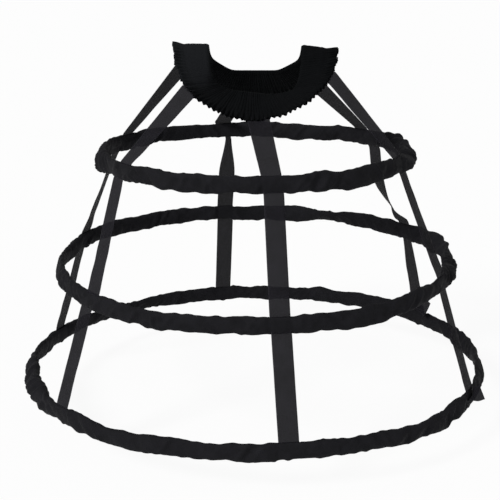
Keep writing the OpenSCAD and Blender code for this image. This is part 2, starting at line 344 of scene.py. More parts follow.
def steel_material(name, dark, light, rough):
    """Rolled steel with fine lines along it and a few dull spots."""
    material, tree, shader = shader_tree(name)
    place = add_node(tree, "ShaderNodeTexCoord").outputs["Object"]
    stretch = texture(tree, "ShaderNodeMapping", place)
    stretch.inputs["Scale"].default_value = STEEL_LINES
    lines = texture(tree, "ShaderNodeTexNoise", stretch.outputs[0], Scale=1.0, Detail=3.0).outputs[0]
    spots = texture(tree, "ShaderNodeTexNoise", place, Scale=150.0, Detail=5.0).outputs[0]
    mix_colours(tree, shader, lines, dark, light)
    set_values(shader, Metallic=1.0)
    gloss = math_node(tree, "ADD", rough, math_node(tree, "MULTIPLY", spots, SPOT_GLOSS))
    tree.links.new(gloss, shader.inputs["Roughness"])
    add_bump(tree, shader, lines, 0.3, 0.05 * MM)
    return material


def elastic_material(name, dark, light):
    """Ribbed elastic with rubber ribs along it."""
    material, tree, shader = shader_tree(name)
    place = add_node(tree, "ShaderNodeTexCoord").outputs["Object"]
    ribs = texture(tree, "ShaderNodeTexWave", place, Scale=160.0, Distortion=0.8, bands_direction="Z").outputs[1]
    mix_colours(tree, shader, ribs, dark, light)
    set_values(shader, Roughness=0.8)
    add_bump(tree, shader, ribs, 0.5, 0.3 * MM)
    return material


STEEL_LOOK = steel_material("hoop_steel", (0.2, 0.2, 0.21), (0.42, 0.42, 0.44), 0.35)
JOINER_LOOK = steel_material("joiner_metal", (0.45, 0.4, 0.3), (0.6, 0.55, 0.42), 0.25)
ELASTIC_LOOK = elastic_material("ribbed_elastic", (0.01, 0.01, 0.01), (0.03, 0.03, 0.03))


# Casings: cloth tubes gathered loosely on the hoops

CASING_CELL = 2.6 * MM
CASING_SIDES = 44
SLIT_TURN = math.radians(24)

# Wrinkles of the casings: pitch along the hoop, slant, height over which they change, and number among the seeds
LUMPS = (44 * MM, 0, 60 * MM, 1)
FOLD_PATCHES = (70 * MM, 0, 80 * MM, 2)
RISING_FOLDS = (15 * MM, 0.9, 50 * MM, 3)
FALLING_FOLDS = (19 * MM, -0.7, 45 * MM, 4)
PUCKERS = (8 * MM, 0.1, 14 * MM, 5)
CRUMPLE = (5 * MM, 0.3, 5 * MM, 6)
UPRIGHT_FOLDS = (11 * MM, 0.15, 30 * MM, 7)
UPRIGHT_PATCHES = (60 * MM, 0, 90 * MM, 8)
LUMP_H = 1.2 * MM
FOLD_H = 2.5 * MM
UPRIGHT_H = 1.3 * MM
PUCKER_H = 0.7 * MM
CRUMPLE_H = 0.18 * MM
RIDGE_SHARP = 2.2
# How the patches share out the folds: the even share, and how sharply it changes
FOLD_SHARE = (0.5, 1.1)
UPRIGHT_SHARE = (0.2, 1.2)
# The outer and the inner side of a casing read different rows of the noise
SIDE_ROWS = 7.3
FIRST_ROW = 20


def casing_wrinkles(arc, height, around, side, seed):
    """How far the cloth stands out from its even tube: lumps, slanting folds and small puckers at its edges."""
    def waves(wrinkle):
        pitch, slant, tall, k = wrinkle
        count = max(3, round(around / pitch))
        rows = height / tall + side * SIDE_ROWS + FIRST_ROW
        return lattice((arc + slant * height) / around * count, rows, count, seed + k)

    def ridge(wrinkle):
        return 1 - RIDGE_SHARP * np.abs(waves(wrinkle))

    def patch(wrinkle, share):
        return smooth(share[0] + share[1] * waves(wrinkle))

    rising = patch(FOLD_PATCHES, FOLD_SHARE)
    folds = rising * ridge(RISING_FOLDS) + (1 - rising) * ridge(FALLING_FOLDS)
    upright = ridge(UPRIGHT_FOLDS) * patch(UPRIGHT_PATCHES, UPRIGHT_SHARE)
    puckers = waves(PUCKERS) * smooth(np.abs(height) / (CASING_H / 2))
    return (LUMP_H * waves(LUMPS) + FOLD_H * folds + UPRIGHT_H * upright + PUCKER_H * puckers
            + CRUMPLE_H * waves(CRUMPLE))


def strap_edge_gap(theta, level, rows):
    """Distance along a hoop to the nearest edge of a strap, less than nothing under the strap."""
    radius, _ = HOOPS[level]
    gaps = []
    for angles in STRAPS.values():
        away = (theta - math.radians(angles[rows[level]]) + math.pi) % TAU - math.pi
        gaps.append(np.abs(away) * radius - STRAP_W / 2)
    return np.min(gaps, 0)


# Where a casing has slid along its hoop and lies crumpled and flat: middle, half spread, roll, and growth
SLIDES = {
    "top": ((-10, 16, 52, 0.38), (17, 13, -42, 0.34), (117, 12, 0, -0.2), (189, 13, 20, 0.35)),
    "mid": ((-9, 12, 36, 0.2), (16, 14, -40, 0.22), (64, 9, 36, 0), (191, 12, 22, -0.05)),
    "low": ((-8, 10, 20, -0.12), (14, 12, -26, -0.05), (131, 14, 24, 0), (196, 16, 34, 0.4)),
}
# Half spreads from its middle at which such a place ends; it is at its fullest up to 1 less than that
PLACE_FLAT = 1.35


def around_place(theta, middle, spread):
    """1 near a place on a hoop, falling to 0 beyond its half spread, both in degrees."""
    away = np.abs((theta - math.radians(middle) + math.pi) % TAU - math.pi)
    return smooth(PLACE_FLAT - away / math.radians(spread))


def slide(level, theta):
    """Roll of the casing's section and how much it is bunched, at angles round a hoop."""
    roll, growth = np.zeros(len(theta)), np.zeros(len(theta))
    for middle, spread, turn, more in SLIDES[level]:
        share = around_place(theta, middle, spread)
        roll += math.radians(turn) * share
        growth += more * share
    return roll, growth


# How far a folded strap end pushes the bottom casing down
POCKET_DROP = 2.4 * MM
# Where a hoop droops in its casing, or is drawn up: middle, half spread, and drop
DROOPS = {
    "top": ((68, 12, 3.5 * MM),),
    "mid": ((171, 9, 7 * MM), (135, 8, 3 * MM), (302, 10, 3.5 * MM)),
    "low": ((312, 12, 5.5 * MM), (241, 10, 3.5 * MM), (279, 8, -2.5 * MM)),
}
# The middle casing's ends meet at the back strap, and the right one droops: drop, reach and width of the step there
END_DROOP = {"mid": 4.5 * MM}
END_REACH = math.radians(14)
END_STEP = 0.02


def droop(level, theta):
    """How far a hoop hangs below its even place, at angles round it."""
    start = math.radians(STRAPS["back"][STRAP_IN[level]]) - STRAP_W / 2 / HOOPS[level][0]
    away = (start - theta + math.pi) % TAU - math.pi
    drop = END_DROOP.get(level, 0.0) * smooth(away / END_STEP + 0.5) * np.exp(-np.maximum(away, 0) / END_REACH)
    return drop + sum(fall * around_place(theta, middle, spread) for middle, spread, fall in DROOPS[level])


CASING_SEEDS = {level: 100 * number + 11 for number, level in enumerate(LEVELS)}
# Noise along a hoop: its pitch and its number among the seeds
SWAYS = (70 * MM, 80)
PLUMPS = (52 * MM, 60)
ROLLS = (90 * MM, 70)
SWAY_REACH = 1.2 * MM
ROLL_REACH = math.radians(9)


def along_hoop(level, theta, noise):
    """Seeded noise from -1 to 1 along a hoop."""
    pitch, k = noise
    count = max(3, round(TAU * HOOPS[level][0] / pitch))
    return lattice(theta / TAU * count, np.zeros(len(theta)), count, CASING_SEEDS[level] + k)


def sway(level, theta):
    """How far a hoop bends out or in between the straps."""
    return SWAY_REACH * along_hoop(level, theta, SWAYS) * smooth(strap_edge_gap(theta, level, STRAP_IN) / HOLD_FADE)


# Waves of a casing's two edges: pitch, height, and number among the seeds
EDGE_WAVES = ((47 * MM, 1.7 * MM, 1), (21 * MM, 1.4 * MM, 2), (9 * MM, 0.8 * MM, 3))
EDGE_KINKS = (27 * MM, 1.8 * MM, 4)
UPPER_EDGE = 40
LOWER_EDGE = 50


def casing_edge(level, theta, first):
    """Waves and kinks of one edge of a casing."""
    pitch, height, k = EDGE_KINKS
    waves = height * (0.5 - np.abs(along_hoop(level, theta, (pitch, first + k))))
    return waves + sum(height * along_hoop(level, theta, (pitch, first + k)) for pitch, height, k in EDGE_WAVES)


# How a strap holds a casing's cloth: reach, how fast that fades, and how much calmer and flatter the cloth is there
HOLD_REACH = 6 * MM
HOLD_FADE = 7 * MM
HOLD_CALM = 0.8
HOLD_FLAT = 0.25
# The crease beside a strap: place, half width and depth
CREASE = (2 * MM, 1.8 * MM, 0.8 * MM)
# How much a bunched place adds to the wrinkles and the height, and how unevenly a casing is filled
BUNCH_WRINKLE = 1.6
BUNCH_TALL = 0.5
PLUMP_RANGE = 0.22
# How square the casing's section is across and up, and how much its wrinkles show at the edges
SQUARE_WIDE = 0.8
SQUARE_TALL = 0.9
EDGE_WRINKLE = 0.3
STEEL_ROOM = 0.5 * MM
SLIT_ROOM = 0.5 * MM


def make_casing(level):
    """A casing's cloth, slit where the straps go in and out."""
    radius, _ = HOOPS[level]
    around = TAU * radius
    n = round(around / CASING_CELL)
    theta = np.arange(n) / n * TAU
    psi = (np.arange(CASING_SIDES) + 0.5) / CASING_SIDES * TAU
    T, P = np.meshgrid(theta, psi, indexing="ij")
    c, s = np.cos(P), np.sin(P)
    beyond_in = strap_edge_gap(theta, level, STRAP_IN)
    beyond_out = strap_edge_gap(theta, level, STRAP_OUT)
    upper = smooth(0.5 + s)
    beyond = beyond_in[:, None] * upper + beyond_out[:, None] * (1 - upper)
    held = smooth((HOLD_REACH - beyond) / HOLD_FADE)
    roll, growth = (part[:, None] for part in slide(level, theta))
    free = (1 - HOLD_CALM * held) * (1 + BUNCH_WRINKLE * growth)
    plump = 1 + PLUMP_RANGE * along_hoop(level, theta, PLUMPS)[:, None] - HOLD_FLAT * held + growth
    wide = np.sign(c) * np.abs(c) ** SQUARE_WIDE * CASING_T / 2 * plump
    tall = np.sign(s) * np.abs(s) ** SQUARE_TALL * CASING_H / 2 * (1 + BUNCH_TALL * growth)
    bump = casing_wrinkles(T * radius, tall, around, np.where(c > 0, 0, 1), CASING_SEEDS[level]) * free
    bump = np.maximum(bump, -CASING_T / 4)
    upper_edge = casing_edge(level, theta, UPPER_EDGE)[:, None]
    lower_edge = casing_edge(level, theta, LOWER_EDGE)[:, None]
    lift = np.where(s > 0, upper_edge, lower_edge) * np.abs(s) * free
    place, half, depth = CREASE
    crease = np.exp(-((beyond - place) / half) ** 2) * depth
    if level == "low":
        pocket = smooth((STRAP_W / 4 + beyond_in) / (-STRAP_W / 4))[:, None] * np.maximum(0, -s)
        tall = tall - pocket * POCKET_DROP
    tilt = roll + ROLL_REACH * along_hoop(level, theta, ROLLS)[:, None]
    room = BONE_H / 2 * np.abs(np.sin(tilt)) + SLEEVE_T / 2 + CASING_CLOTH + STEEL_ROOM
    wide = wide + c * (bump - crease)
    wide = np.sign(c) * np.maximum(np.abs(wide), room * np.abs(c))
    tall = tall + lift + EDGE_WRINKLE * s * bump
    wide, tall = wide * np.cos(tilt) - tall * np.sin(tilt), tall * np.cos(tilt) + wide * np.sin(tilt)
    r = radius + wide + sway(level, theta)[:, None]
    z = hang(level, T) + tall - droop(level, theta)[:, None]
    points = np.stack([r * np.cos(T), r * np.sin(T), z], -1)
    middle = psi + TAU / CASING_SIDES / 2
    drop = (beyond_in < SLIT_ROOM)[:, None] & (np.abs(middle - math.pi / 2) < SLIT_TURN)[None, :]
    if level != "low":
        drop |= (beyond_out < SLIT_ROOM)[:, None] & (np.abs(middle - 3 * math.pi / 2) < SLIT_TURN)[None, :]
    girth = 2 * (CASING_H + CASING_T / 2)
    uv = (np.arange(n + 1) / n * around, np.arange(CASING_SIDES + 1) / CASING_SIDES * girth)
    piece = grid_object("casing_cloth_" + level, points, uv, True, True, drop)
    thicken(piece, CASING_CLOTH, -1)
    finish_piece(piece, CASING_CLOTH_LOOK, ["casing_" + level])


def hang_steel(node, level, material):
    """A steel piece of the frame, bent as its hoop hangs."""
    mesh = bpy.data.objects[node].data.copy()
    points = np.empty(3 * len(mesh.vertices))
    mesh.vertices.foreach_get("co", points)
    points = points.reshape(-1, 3)
    theta = np.arctan2(points[:, 1], points[:, 0])
    reach = np.hypot(points[:, 0], points[:, 1])
    points[:, :2] *= (1 + sway(level, theta) / reach)[:, None]
    points[:, 2] += hang(level, theta) - HOOPS[level][1] - droop(level, theta)
    mesh.vertices.foreach_set("co", points.reshape(-1))
    mesh.materials.clear()
    mesh.update()
    piece = add_object("hung_" + node, mesh)
    finish_piece(piece, material, [node])


for hoop_level in LEVELS:
    make_casing(hoop_level)
    hang_steel("hoop_bone_" + hoop_level, hoop_level, STEEL_LOOK)
    hang_steel("bone_joiner_" + hoop_level, hoop_level, JOINER_LOOK)


# Waistband: a loop of cloth folded over elastic, hung over a bar at its left and right

BAND_W = 58 * MM
BAND_CLOTH = 0.5 * MM
FULLNESS = 1.4
RUFFLE_W = 19 * MM
STITCH_AT = BAND_W - RUFFLE_W
FOLD_RISE = 57 * MM
FOLD_ROUND = 10.0
MIDDLE_ROUND = 4.0
BACK_SLOPE = 52.0
SLOPE_ROUND = 0.015
# Each edge of the waistband: half sizes, heights in front and behind, how it leans in front,
# how far its folds sink and the right one drops, how fast it falls from them, how much it slants behind,
# and how blunt its plan is
TOP_EDGE = {
    "size": (74 * MM, 56 * MM), "levels": (-11 * MM, 10 * MM), "lean": 7.4 * MM, "drop": (0.5 * MM, 1 * MM),
    "spread": 9.5, "slant": 0.8, "blunt": 0.7,
}
RUFFLE_EDGE = {
    "size": (140 * MM, 104 * MM), "levels": (-53 * MM, -66 * MM), "lean": -9 * MM, "drop": (4 * MM, 5.5 * MM),
    "spread": 100.0, "slant": 0.0, "blunt": 1.0,
}


def from_fold(degrees):
    """Angle away from the nearer fold over the bar, rounded off at the folds and halfway between them."""
    def bend(angle, radius):
        return np.sqrt(angle * angle + radius ** 2) - radius
    off = 90 - 90 * bend(degrees % 180 - 90, MIDDLE_ROUND) / bend(90.0, MIDDLE_ROUND)
    return bend(off, FOLD_ROUND)


def climb(degrees, spread):
    """1 at the folds over the bar, falling to 0 in front and behind."""
    rest = math.exp(-from_fold(90.0) / spread)
    return (np.exp(-from_fold(degrees) / spread) - rest) / (1 - rest)


def band_edge(degrees, edge):
    """Points of one edge of the waistband, at angles round it."""
    a = np.radians(degrees)
    behind = smooth((1 + np.sin(a)) / 2)
    low = (edge["levels"][0] - edge["lean"] * np.cos(a)) * (1 - behind) + edge["levels"][1] * behind
    steep = climb(degrees, edge["spread"])
    slant = 1 - from_fold(degrees) / BACK_SLOPE
    slant = (slant + np.sqrt(slant * slant + SLOPE_ROUND)) / 2
    rise = steep + (slant - steep) * edge["slant"] * behind
    sink, drop = edge["drop"]
    z = low + (FOLD_RISE - sink - drop * np.cos(a) - low) * rise
    s = np.sin(a)
    y = edge["size"][1] * np.sign(s) * np.abs(s) ** edge["blunt"]
    return np.stack([edge["size"][0] * np.cos(a), y, z], -1)


def band_line(degrees, w):
    """Points of the waistband's middle surface, w across from its top fold."""
    top = band_edge(degrees, TOP_EDGE)
    down = unit(band_edge(degrees, RUFFLE_EDGE) - top)
    return top + down * np.asarray(w)[..., None], down


# Degrees on either side of a place between which the waistband's direction is taken
LOOK_AHEAD = 0.8


def on_band(degrees, w, n):
    """Points at a height n off the middle surface, outwards."""
    place, down = band_line(degrees, w)
    ahead = band_line(degrees + LOOK_AHEAD, w)[0] - band_line(degrees - LOOK_AHEAD, w)[0]
    return place + unit(np.cross(down, unit(ahead))) * np.asarray(n)[..., None]


FINE_ANGLES = 2881


def even_angles(count):
    """Angles that divide the middle line of the waistband into even lengths."""
    fine = np.linspace(0, 360, FINE_ANGLES)
    line = band_line(fine, np.full(fine.shape, BAND_W / 2))[0]
    length = np.concatenate([[0], np.cumsum(np.linalg.norm(np.diff(line, axis=0), axis=1))])
    return np.interp(np.arange(count) / count * length[-1], length, fine), length[-1]


# The cloth is smooth over the left fold, out to an angle and fading over another, with this much less gather
SMOOTH_FOLD = 30.0
SMOOTH_FADE = 14.0
SMOOTH_CALM = 0.8
# Gathers are calmer and the ruffle wider near both folds
NEAR_FOLDS = 30.0
FOLD_CALM = 0.5
GATHERS = 168
RINGS_PER_GATHER = 8
ROW_STITCHES = (10 * MM, 20 * MM, 30 * MM)
EDGE_STITCHES = (38 * MM, 41.5 * MM)
# How far the gathers wander: cells round the loop, length across, row, step between the layers, seed, and reach
GATHER_DRIFT = (60, 24 * MM, 5, 31, 501, 1.6)
GATHER_SLOW = (34, 60 * MM, 3, 17, 502, 2.6)
GATHER_UNEVEN = (GATHERS, 40 * MM, 2, 11, 503, 0.5)
# Height of the gathers, their even share, how sharp their valleys are, and how they start below the top fold
GATHER_H = 1.9 * MM
GATHER_EVEN = 0.75
GATHER_ROUND = 0.75
GATHER_START = (1 * MM, 5 * MM)
# The ruffle waves at a lower rate than the gathers, out of step on its two layers
RUFFLE_RATE = 2 / 3
RUFFLE_STEP = 1.3
# How far the ruffle wanders: cells round the loop, row, seed, and reach
RUFFLE_DRIFT = (40, 2.0, 504, 1.6)
# Height of the ruffle's waves, what the folds add, how far it stands out, and how much it flattens the gathers
RUFFLE_H = 2.3 * MM
RUFFLE_FOLD_H = 1.2 * MM
RUFFLE_OUT = 0.6 * MM
RUFFLE_FLAT = 0.45


def gather_waves(t, w, layer):
    """Height of the gathers on one layer, at t round the loop from 0 to 1 and w across it."""
    def wander(noise):
        cells, length, row, step, seed, reach = noise
        return reach * lattice(t * cells, w / length + row + step * layer, cells, seed)

    phase = TAU * GATHERS * t + wander(GATHER_DRIFT) + wander(GATHER_SLOW)
    pleat = np.abs(np.sin(phase / 2)) ** GATHER_ROUND
    uneven = GATHER_EVEN + wander(GATHER_UNEVEN)
    ruffle = smooth((w - EDGE_STITCHES[0]) / (BAND_W - EDGE_STITCHES[0]))
    cells, row, seed, reach = RUFFLE_DRIFT
    late = reach * lattice(t * cells, np.full_like(w, row) + layer, cells, seed)
    wave = np.sin(phase * RUFFLE_RATE + RUFFLE_STEP * layer + late)
    degrees = t_to_angle(t)
    near = climb(degrees, NEAR_FOLDS)
    taut = smooth((SMOOTH_FOLD - np.abs(degrees - 180)) / SMOOTH_FADE)
    calm = (1 - FOLD_CALM * near ** 2) * (1 - SMOOTH_CALM * taut)
    start, length = GATHER_START
    body = GATHER_H * pleat * uneven * calm * smooth((w + start) / length)
    frill = ruffle * ((RUFFLE_H + RUFFLE_FOLD_H * near) * wave + RUFFLE_OUT)
    return body * (1 - RUFFLE_FLAT * ruffle), frill


def t_to_angle(t):
    """Angle of a place round the loop, from 0 to 1 along its length."""
    return np.interp(t % 1, np.arange(len(BAND_ANGLES) + 1) / len(BAND_ANGLES), np.append(BAND_ANGLES, 360))


BAND_ANGLES, BAND_LENGTH = even_angles(GATHERS * RINGS_PER_GATHER)


# Half width and depth of the dent along a row of stitches
PINCH_W = 1.1 * MM
PINCH_DEPTH = 0.35 * MM
# Half the thickness of the fold over the elastic, how it starts, and how much thinner the ruffle is
FOLD_T = 1.6 * MM
FOLD_START = (0.3 * MM, 4 * MM)
THIN_FROM = (33 * MM, 5 * MM)
THINNER = 0.45
INNER_FRILL = 0.85


def pinch(w):
    """1 on the rows of stitching, 0 between them."""
    return sum(np.exp(-((w - row) / PINCH_W) ** 2) for row in ROW_STITCHES + EDGE_STITCHES)


def layer_height(t, w, layer):
    """Distance of one layer's outer face from the middle of the waistband; layer 0 is outside, 1 is inside."""
    body, frill = gather_waves(t, w, layer)
    thinner = THINNER * smooth((w - THIN_FROM[0]) / THIN_FROM[1])
    thick = FOLD_T * smooth((w + FOLD_START[0]) / FOLD_START[1]) * (1 - thinner)
    face = thick + body - PINCH_DEPTH * np.clip(pinch(w), 0, 1)
    return np.where(layer == 0, face + frill, -face + frill * INNER_FRILL)


# Rows of the mesh down a layer's outer face, and up its inner one
FACE_ROWS = np.concatenate([[0.0, 0.6 * MM, 1.8 * MM], np.linspace(4 * MM, STITCH_AT, 13),
                            np.linspace(STITCH_AT + 2 * MM, BAND_W, 8)])
INNER_ROWS = np.concatenate([np.linspace(BAND_W - 0.1 * MM, STITCH_AT + 1.5 * MM, 5), [30 * MM, 16 * MM, 3 * MM]])
# Waves of the ruffle's raw edge: how many round the loop, height and seed
SCALLOPS = ((70, 1.5 * MM, 505), (150, 1.1 * MM, 506))


def make_waistband():
    """The waistband's cloth, one strip folded over the elastic with its two raw edges hanging down."""
    n = len(BAND_ANGLES)
    t = np.arange(n) / n
    rows = ([(w, 0, 0.0) for w in FACE_ROWS] + [(w, 0, -BAND_CLOTH) for w in INNER_ROWS]
            + [(w, 1, BAND_CLOTH) for w in INNER_ROWS[::-1]] + [(w, 1, 0.0) for w in FACE_ROWS[:0:-1]])
    scallop = sum(height * lattice(t * count, np.zeros(n), count, seed) for count, height, seed in SCALLOPS)
    points = np.zeros((n, len(rows), 3))
    for k, (w, layer, inset) in enumerate(rows):
        wide = np.full(n, w)
        height = np.zeros(n) if w == 0 else layer_height(t, wide, layer) + inset
        reach = wide + scallop * smooth((w - STITCH_AT) / RUFFLE_W)
        points[:, k] = on_band(BAND_ANGLES, reach, height)
    width = 2 * BAND_W
    uv = (np.arange(n + 1) / n * BAND_LENGTH * FULLNESS, np.linspace(0, 2 * width, len(rows) + 1))
    piece = grid_object("waistband_cloth", points, uv, True, True)
    finish_piece(piece, BAND_CLOTH_LOOK, ["waistband"])


make_waistband()


# Elastic inside the waistband's fold

ELASTIC_W = 30 * MM
ELASTIC_T = 1.1 * MM
ELASTIC_AT = 3 * MM
ELASTIC_RINGS = 600
ELASTIC_COLUMNS = 13


def make_elastic():
    angles, length = even_angles(ELASTIC_RINGS)
    across = np.linspace(ELASTIC_AT, ELASTIC_AT + ELASTIC_W, ELASTIC_COLUMNS)
    rows = [(w, ELASTIC_T / 2) for w in across] + [(w, -ELASTIC_T / 2) for w in across[::-1]]
    points = np.stack([on_band(angles, np.full(ELASTIC_RINGS, w), np.full(ELASTIC_RINGS, n)) for w, n in rows], 1)
    uv = (np.arange(ELASTIC_RINGS + 1) / ELASTIC_RINGS * length, np.linspace(0, 2 * ELASTIC_W, len(rows) + 1))
    piece = grid_object("elastic_loop", points, uv, True, True)
    finish_piece(piece, ELASTIC_LOOK, ["waist_elastic"])


make_elastic()


# Stitching: dashes of thread along the waistband's rows; the elastic's rows show on the inside

STITCH_PITCH = 3.6 * MM
STITCH_SHARE = 0.74
STITCH_ARCH = 0.25 * MM
THREAD_R = 0.16 * MM
THREAD_END = 0.35
THREAD_SIDES = 5
STITCH_POINTS = 5


def band_stitches(w, layer):
    """Points along each dash of one row, with the directions away from the cloth and along the dash."""
    count = round(BAND_LENGTH / STITCH_PITCH)
    share = np.linspace(0, STITCH_SHARE, STITCH_POINTS)
    t = (np.arange(count)[:, None] + share[None, :]) / count
    wide = np.full(t.shape, w)
    side = 1 if layer == 0 else -1
    arch = np.sin(share / STITCH_SHARE * math.pi)[None, :] * STITCH_ARCH
    height = layer_height(t, wide, layer) + side * arch
    angles = t_to_angle(t)
    points = on_band(angles, wide, height)
    out = unit(on_band(angles, wide, height + side * MM) - points)
    ahead = unit(np.gradient(points, axis=1))
    return points, out, ahead


def make_stitches():
    verts, faces = [], []
    turn = np.arange(THREAD_SIDES) / THREAD_SIDES * TAU
    thin = np.array([THREAD_END] + [1.0] * (STITCH_POINTS - 2) + [THREAD_END])
    rows = [(w, 0) for w in EDGE_STITCHES] + [(w, 1) for w in ROW_STITCHES + EDGE_STITCHES]
    for w, layer in rows:
        points, out, ahead = band_stitches(w, layer)
        across = np.cross(ahead, out)
        ring = (out[:, :, None] * np.cos(turn)[:, None] + across[:, :, None] * np.sin(turn)[:, None])
        tube = points[:, :, None] + ring * THREAD_R * thin[None, :, None, None]
        for dash in tube:
            first = len(verts)
            verts += dash.reshape(-1, 3).tolist()
            for i in range(STITCH_POINTS - 1):
                for j in range(THREAD_SIDES):
                    a, b = first + i * THREAD_SIDES + j, first + i * THREAD_SIDES + (j + 1) % THREAD_SIDES
                    faces.append((a, b, b + THREAD_SIDES, a + THREAD_SIDES))
            faces.append([first + j for j in range(THREAD_SIDES)][::-1])
            faces.append([first + (STITCH_POINTS - 1) * THREAD_SIDES + j for j in range(THREAD_SIDES)])
    mesh = bpy.data.meshes.new("waistband_stitching")
    mesh.from_pydata(verts, [], faces)
    mesh.polygons.foreach_set("use_smooth", np.ones(len(faces), bool))
    mesh.update()
    piece = add_object("waistband_stitching", mesh)
    finish_piece(piece, THREAD_LOOK)


make_stitches()


# Straps: flat ribbon from the waistband's slit, through two casings, round the bottom hoop

RIBBON_COLUMNS = 13
RIBBON_STEP = 2.5 * MM
RIBBON_SOFT = 3
# Slow waves across a ribbon: pitch, height and cells of the noise, and its rows across the ribbon
RIBBON_WAVES = (40 * MM, 0.6 * MM, 400)
RIBBON_ROWS = (0.8, 4)
RIBBON_SEED = 700
# How far a strap is clear of a casing before it bends, and how slack it hangs between two casings
STRAP_CLEAR = 2 * MM
STRAP_SLACK = 0.5 * MM
# Share of its run over which a strap turns and turns back
LEAN_FADE = 0.25
COLUMNS = np.linspace(-1, 1, RIBBON_COLUMNS)


def band_row(angle, w, flare=1.0):
    """A row of points across a strap in the waistband."""
    ahead = band_edge(np.array([angle - 1.0, angle + 1.0]), RUFFLE_EDGE)
    step = flare * STRAP_W / np.linalg.norm(ahead[1] - ahead[0])
    return band_line(angle + COLUMNS * step, np.full(RIBBON_COLUMNS, w))[0]


def hoop_row(angle, level, out, up):
    """A row of points across a strap at a hoop, at distances out from its middle line and up."""
    radius, _ = HOOPS[level]
    theta = math.radians(angle) + COLUMNS * STRAP_W / 2 / radius
    r = radius + out
    return np.stack([r * np.cos(theta), r * np.sin(theta), hang(level, theta) + up], -1)


def free_run(start, end, bow, sag=1.0, lean=0.0, twists=False):
    """Rows of a strap between two rows, bowed in towards the axis and turned about its own line."""
    middle = RIBBON_COLUMNS // 2
    a, b = start[middle], end[middle]
    steps = max(4, round(np.linalg.norm(b - a) / RIBBON_STEP))
    line = unit(b - a)
    rows = []
    for k in range(1, steps):
        t = k / steps
        mid = a + (b - a) * t
        mid = mid - unit(np.array([mid[0], mid[1], 0.0])) * bow * math.sin(math.pi * t ** sag)
        row = start + (end - start) * t
        away = row - row[middle]
        turn = lean * float(smooth(t / LEAN_FADE) * smooth((1 - t) / LEAN_FADE))
        if twists:
            turn += float(np.interp(t, TWIST_AT, TWIST_TURN))
        turn = math.radians(turn)
        rows.append(mid + away * math.cos(turn) + np.cross(line, away) * math.sin(turn))
    return rows


def dense(rows):
    """Rows with steps in between, so that no step is longer than the ribbon's cell."""
    middle = RIBBON_COLUMNS // 2
    out = [rows[0]]
    for a, b in zip(rows, rows[1:]):
        steps = max(1, math.ceil(np.linalg.norm(b[middle] - a[middle]) / RIBBON_STEP))
        out += [a + (b - a) * k / steps for k in range(1, steps + 1)]
    return np.array(out)


def soften(rows, reach):
    """Rounds a ribbon's bends by averaging each row with its neighbours along the ribbon."""
    steps = np.arange(-reach, reach + 1)
    weight = np.exp(-(steps / (reach / 2)) ** 2)
    weight /= weight.sum()
    padded = np.concatenate([np.repeat(rows[:1], reach, 0), rows, np.repeat(rows[-1:], reach, 0)])
    return sum(w * padded[k:k + len(rows)] for k, w in enumerate(weight))


# How much wider a strap is where it leaves the ruffle
WAIST_FLARE = {"front": 1.2}
# The slack strap: how far it bows in between the top and middle hoops, and how low its bow sags
STRAP_BOW = {"back_right": 20 * MM}
BOW_SAG = {"back_right": 1.1}
TWISTED = ("back_right",)
# How far a strap is turned about its own line between the top and middle hoops
STRAP_LEAN = {"back_left": -9}
# A slack strap turns edge-on to the camera and back: shares of its run between two hoops, and its turn in degrees
TWIST_AT = (0.42, 0.62, 0.81, 0.89, 0.95, 1.0)
TWIST_TURN = (0.0, 14.0, 27.0, 4.0, -9.0, 0.0)
# Strap ends that show: their length, how much they go out from the hoop, along it and up, and their tilt
TAILS = {"back_right": (50 * MM, (-0.05, -0.92, -0.38), 0), "front_right": (19 * MM, (0.85, 0.4, 0.4), 38)}
# How high above the bottom hoop the inner end is let go, how far it is clear of its strap, and steps along an end
TAIL_RISE = 48 * MM
TAIL_GAP = 1.4 * MM
TAIL_STEPS = 3
# Where a strap is bunched: how far up and down it widens again, and the turns and depth of its folds
BUNCH_ABOVE = {"top": 22 * MM, "mid": 60 * MM}
BUNCH_BELOW = {"top": 95 * MM, "mid": 70 * MM}
BUNCH_TURNS = 1.2
BUNCH_FOLD = 2.2 * MM


def ribbon_normal(points):
    """The direction away from a ribbon's face, row by row."""
    along = unit(np.gradient(points[:, RIBBON_COLUMNS // 2], axis=0))
    return unit(np.cross(along, unit(points[:, -1] - points[:, 0])))


def bunch(points, level, share):
    """Draws a ribbon together in small folds where it leaves a casing, and lets it widen again on either side."""
    middle = points[:, RIBBON_COLUMNS // 2]
    run = np.concatenate([[0], np.cumsum(np.linalg.norm(np.diff(middle, axis=0), axis=1))])
    at = int(np.argmin(np.abs(middle[:, 2] - HOOPS[level][1] + CASING_H / 2)))
    away = run - run[at]
    reach = np.where(away < 0, BUNCH_ABOVE[level], BUNCH_BELOW[level])
    width = share + (1 - share) * smooth(np.abs(away) / reach)
    fold = np.sin(COLUMNS * BUNCH_TURNS * TAU) * BUNCH_FOLD
    drawn = middle[:, None] + (points - middle[:, None]) * width[:, None, None]
    return drawn + ribbon_normal(points)[:, None] * ((1 - width)[:, None] * fold[None, :])[..., None]


